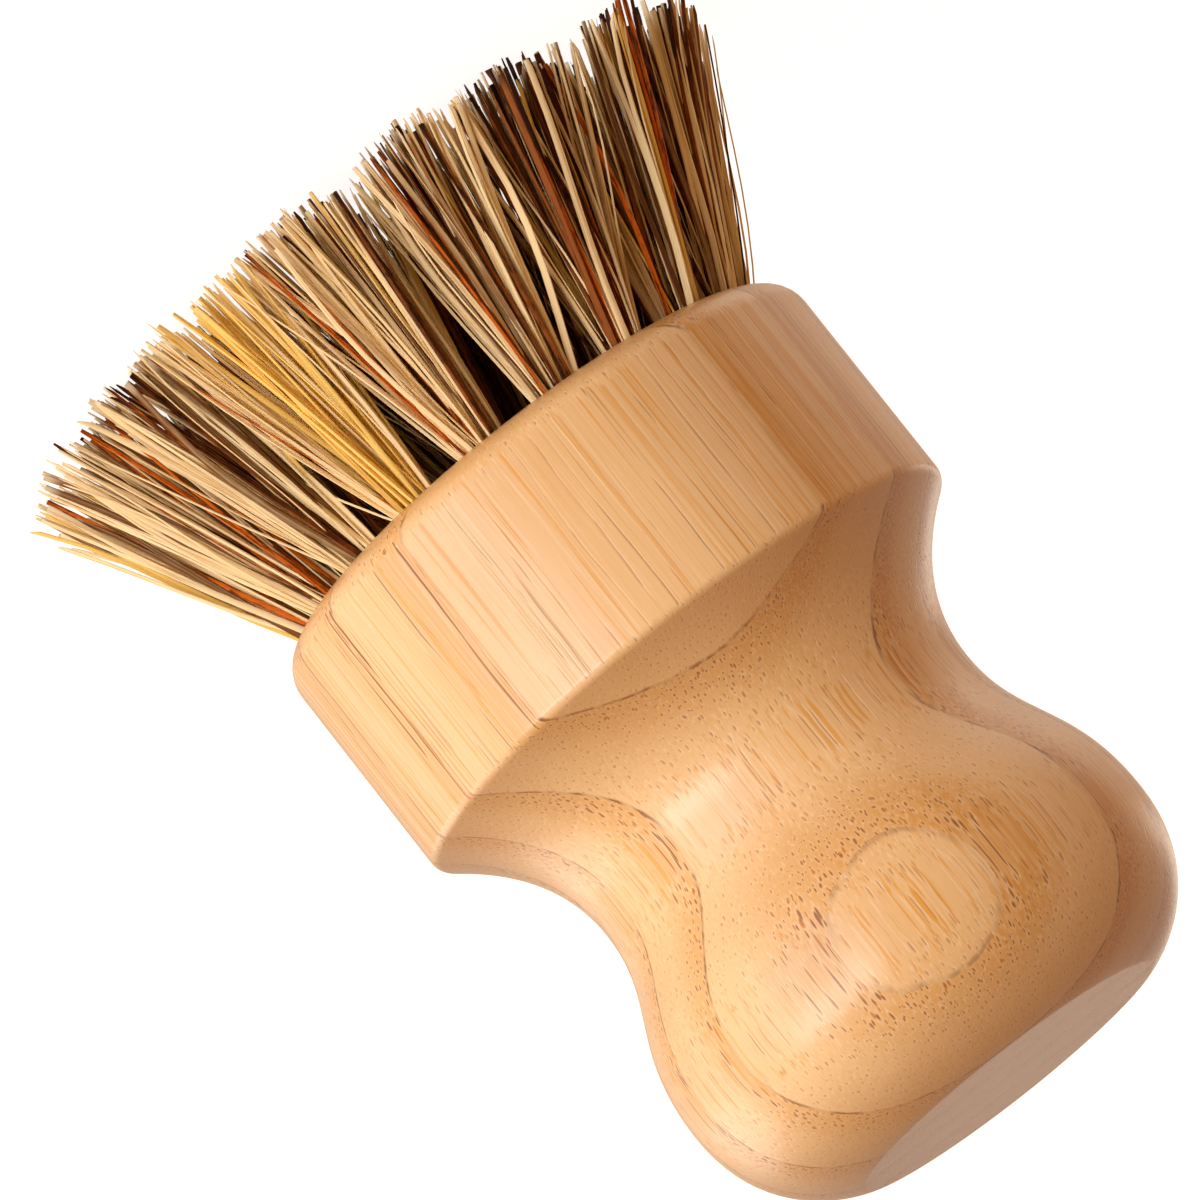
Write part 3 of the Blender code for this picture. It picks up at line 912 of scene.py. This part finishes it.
def fibre_ends(ring, number, bundle, chance):
    """The root of a fibre inside its hole, its tip above the floor, and how far out it stands."""
    spot = bundle["spot"] + disc_point(chance, BUNDLE_SPREAD)
    spot /= max(1.0, spot.length)
    root = hole_frame(ring, number) @ (spot * ROOT_SPREAD + UP * ROOT_DEPTH)
    reach = ring["radius"] + FACE_HEIGHT * math.tan(math.radians(ring["lean"]))
    off = bundle["off"] + Vector((chance.gauss(0, TIP_OFF), chance.gauss(0, TIP_OFF), 0))
    rise = TIP_RISE + RIM_RISE * spot.length_squared + bundle["rise"]
    rise += small_rise(chance, RAGGED_RISE, RAGGED_RISE_LIMIT)
    tip = tuft_turn(ring, number) @ (Vector((reach, 0, 0)) + spot * ring["fan"] + off * MM)
    flat = Vector((tip.x, tip.y, 0))
    if flat.length > TIP_LIMIT:
        flat *= TIP_LIMIT / flat.length
    return root, flat + UP * rise * MM, spot.length


def main_fibres(ring, number, label, mix, models, chance):
    """The loose and bundled fibres of a tuft."""
    clumps = make_clumps(mix, chance)
    fibres = []
    for _ in range(FIBRES_OUTER if ring["name"] == "outer" else FIBRES_HIDDEN):
        bundled = chance.random() < BUNDLED_SHARE
        bundle = chance.choice(clumps) if bundled else loose_fibre(mix, LOOSE_SPREAD, chance)
        root, tip, out = fibre_ends(ring, number, bundle, chance)
        form = "thick" if chance.random() < THICK_SHARES[bundle["kind"]] else "thin"
        # Painted shade: fibres nearer the middle of the tuft are dark more often.
        shaded_share = (HEART_SHADED_SHARE + (RIM_SHADED_SHARE - HEART_SHADED_SHARE) * out) * SHADED_SHARE_FACTORS.get(label, 1.0)
        shades = DARK_SHADES if chance.random() < shaded_share else LIGHT_SHADES
        shade = chance.uniform(*shades)
        fibres.append(plant_fibre(
            chance.choice(models[bundle["kind"], form]), root, tip,
            chance.uniform(*THICKNESS[form]), chance.uniform(0, 2 * math.pi), shade))
    return fibres


def single_strands(ring, number, label, models, chance):
    """The strands of a tuft that stand out, placed as the camera sees them."""
    back = tuft_turn(ring, number).inverted()
    fibres = []
    for kind, thickness, side, off, shade in SINGLE_STRANDS.get(label, ()):
        strand = {
            "spot": back @ Vector((side, -STRAND_NEAR, 0)),
            "off": back @ Vector((off, 0, 0)),
            "rise": STRAND_RISE,
        }
        root, tip, _ = fibre_ends(ring, number, strand, chance)
        fibres.append(plant_fibre(
            chance.choice(models[kind, "thick"]), root, tip, thickness, 0.0, shade))
    return fibres


def fine_hairs(ring, number, mix, models, chance):
    """The fine curved fibres of a tuft."""
    fibres = []
    for _ in range(HAIRS):
        root, tip, _ = fibre_ends(ring, number, loose_fibre(mix, HAIR_SPREAD, chance), chance)
        fibres.append(plant_fibre(
            chance.choice(models["hair"]), root, tip, chance.uniform(*HAIR_THICKNESS),
            chance.uniform(0, 2 * math.pi), chance.uniform(*HAIR_SHADES)))
    return fibres


def make_tuft(ring, number, models):
    """One tuft, with all its fibres joined into one piece."""
    label = "{}_{:02d}".format(ring["name"], number + 1)
    chance = random.Random(label)
    mix = TUFT_MIXES.get(label, PLAIN_MIX if ring["name"] == "outer" else HIDDEN_MIX)
    fibres = main_fibres(ring, number, label, mix, models, chance)
    fibres += single_strands(ring, number, label, models, chance)
    fibres += fine_hairs(ring, number, mix, models, chance)
    tuft = joined(fibres)
    tuft.name = "fibres_" + label
    tuft.data.name = tuft.name
    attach(tuft, "root")
    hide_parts("tuft_" + label)


def make_tufts(finishes):
    """All tufts, from models that are removed at the end."""
    models = model_fibres(finishes)
    for ring in RINGS:
        for number in range(ring["count"]):
            make_tuft(ring, number, models)
    for kind in models.values():
        for model in kind:
            bpy.data.objects.remove(model, do_unlink=True)


def finish_anchors(finish):
    """The wire anchors keep their solids and get their material."""
    for name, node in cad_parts.items():
        if name.startswith("anchor_"):
            node.data.materials.clear()
            node.data.materials.append(finish)


# The photograph's camera, measured from the middle of the head's face.
CAMERA_BACK = 995.1 * MM        # along the view
CAMERA_TILT = math.radians(10.65)       # the knob leans towards the camera
CAMERA_ROLL = math.radians(51.78)       # the axis of the handle below the horizontal of the picture
FACE_LEFT = 5.786 * MM          # the face's middle, left of the picture's middle
FACE_ABOVE = 10.999 * MM
CAMERA_LENS = 341.07            # in millimetres, as the width of the picture behind it
CAMERA_SENSOR = 36.0
CAMERA_CLIP = (0.01, 20.0)      # the nearest and furthest that it shows, in metres


def make_camera():
    """The camera of the photograph."""
    data = bpy.data.cameras.new("camera")
    camera = bpy.data.objects.new("camera", data)
    bpy.context.scene.collection.objects.link(camera)
    data.lens = CAMERA_LENS
    data.sensor_width = CAMERA_SENSOR
    data.clip_start, data.clip_end = CAMERA_CLIP
    sin_roll, cos_roll = math.sin(CAMERA_ROLL), math.cos(CAMERA_ROLL)
    sin_tilt, cos_tilt = math.sin(CAMERA_TILT), math.cos(CAMERA_TILT)
    right = Vector((-sin_roll, cos_roll * sin_tilt, cos_roll * cos_tilt))
    down = Vector((cos_roll, sin_roll * sin_tilt, sin_roll * cos_tilt))
    away = Vector((0, cos_tilt, -sin_tilt))
    face = Vector((0, 0, FACE_HEIGHT))
    place = face + right * FACE_LEFT + down * FACE_ABOVE - away * CAMERA_BACK
    camera.matrix_world = Matrix((
        (right.x, -down.x, -away.x, place.x),
        (right.y, -down.y, -away.y, place.y),
        (right.z, -down.z, -away.z, place.z),
        (0, 0, 0, 1)))
    bpy.context.scene.camera = camera


# The soft lights: azimuth, elevation, distance and size in metres, power in watts, and colour. The
# key stands in front and the others at the sides and behind, all lower than the handle.
LIGHTS = {
    "key": (37.0, -13.0, 0.9, 0.76, 9.6, (0.94, 0.95, 1.0)),
    "side": (114.0, -4.0, 0.9, 0.9, 3.4, (1.0, 0.97, 1.0)),
    "rim": (-130.0, -30.0, 1.1, 0.6, 2.2, (1.0, 0.97, 0.88)),
    "back": (200.0, -16.0, 1.2, 1.0, 3.0, (1.0, 0.88, 0.76)),
}
WARM_FILL = (0.36, 0.19, 0.075, 1)
WHITE = (1, 1, 1, 1)
GLOSS_SHARE = 0.3               # how much of the white background the lacquer shows
FLOOR_SIZE = 6.0
FLOOR_WHITE = (0.9, 0.9, 0.9, 1)
FLOOR_GLOW = 0.90


def direction(azimuth, elevation):
    """A direction from the object: azimuth 0 towards the camera's side, 90 towards +X."""
    turn, rise = math.radians(azimuth), math.radians(elevation)
    return Vector((
        math.sin(turn) * math.cos(rise), -math.cos(turn) * math.cos(rise), math.sin(rise)))


def add_softbox(name, azimuth, elevation, distance, size, power, colour):
    """A square soft light that looks at the brush."""
    data = bpy.data.lights.new(name, "AREA")
    data.shape = "SQUARE"
    data.size = size
    data.energy = power
    data.color = colour
    lamp = bpy.data.objects.new(name, data)
    bpy.context.scene.collection.objects.link(lamp)
    target = Vector((0, 0, (FACE_HEIGHT + END_HEIGHT) / 2))
    way = direction(azimuth, elevation)
    lamp.location = target + way * distance
    lamp.rotation_euler = way.to_track_quat("Z", "Y").to_euler()


def seen_rays(tree):
    """1 for the rays that show the background in the picture or through glass, less in gloss."""
    rays = add_node(tree, "ShaderNodeLightPath").outputs
    gloss = times(tree, rays["Is Glossy Ray"], GLOSS_SHARE)
    seen = math_node(tree, "MAXIMUM", rays["Is Camera Ray"], gloss)
    return math_node(tree, "MAXIMUM", seen, rays["Is Transmission Ray"])


def make_lights():
    """The soft lights, a warm fill all round and the white background."""
    for name, values in LIGHTS.items():
        add_softbox(name, *values)
    world = bpy.data.worlds.new("studio")
    bpy.context.scene.world = world
    world.use_nodes = True
    tree = world.node_tree
    tree.nodes.clear()
    colour = mix_colours(tree, seen_rays(tree), WARM_FILL, WHITE)
    sky = add_node(tree, "ShaderNodeBackground", {"Color": colour, "Strength": 1.0})
    result = add_node(tree, "ShaderNodeOutputWorld")
    tree.links.new(sky.outputs["Background"], result.inputs["Surface"])


def make_floor():
    """A plain white floor under the fibre tips. It stops no light from the lamps below it."""
    deselect()
    bpy.ops.mesh.primitive_plane_add(size=FLOOR_SIZE, location=(0, 0, 0))
    floor = settle(bpy.context.object, "floor")
    floor.visible_shadow = False
    made, tree, shader = new_material("floor_white")
    tree.nodes.remove(shader)
    matte = add_node(tree, "ShaderNodeBsdfDiffuse", {"Color": FLOOR_WHITE})
    glow = add_node(
        tree, "ShaderNodeEmission",
        {"Color": WHITE, "Strength": times(tree, seen_rays(tree), FLOOR_GLOW)})
    both = add_node(tree, "ShaderNodeAddShader", {0: matte.outputs[0], 1: glow.outputs[0]})
    tree.links.new(both.outputs[0], tree.nodes["Material Output"].inputs["Surface"])
    floor.data.materials.append(made)


bpy.context.scene.view_settings.view_transform = "Standard"
make_handle(bamboo_material())
make_tufts(fibre_materials())
finish_anchors(wire_material())
make_floor()
make_lights()
make_camera()
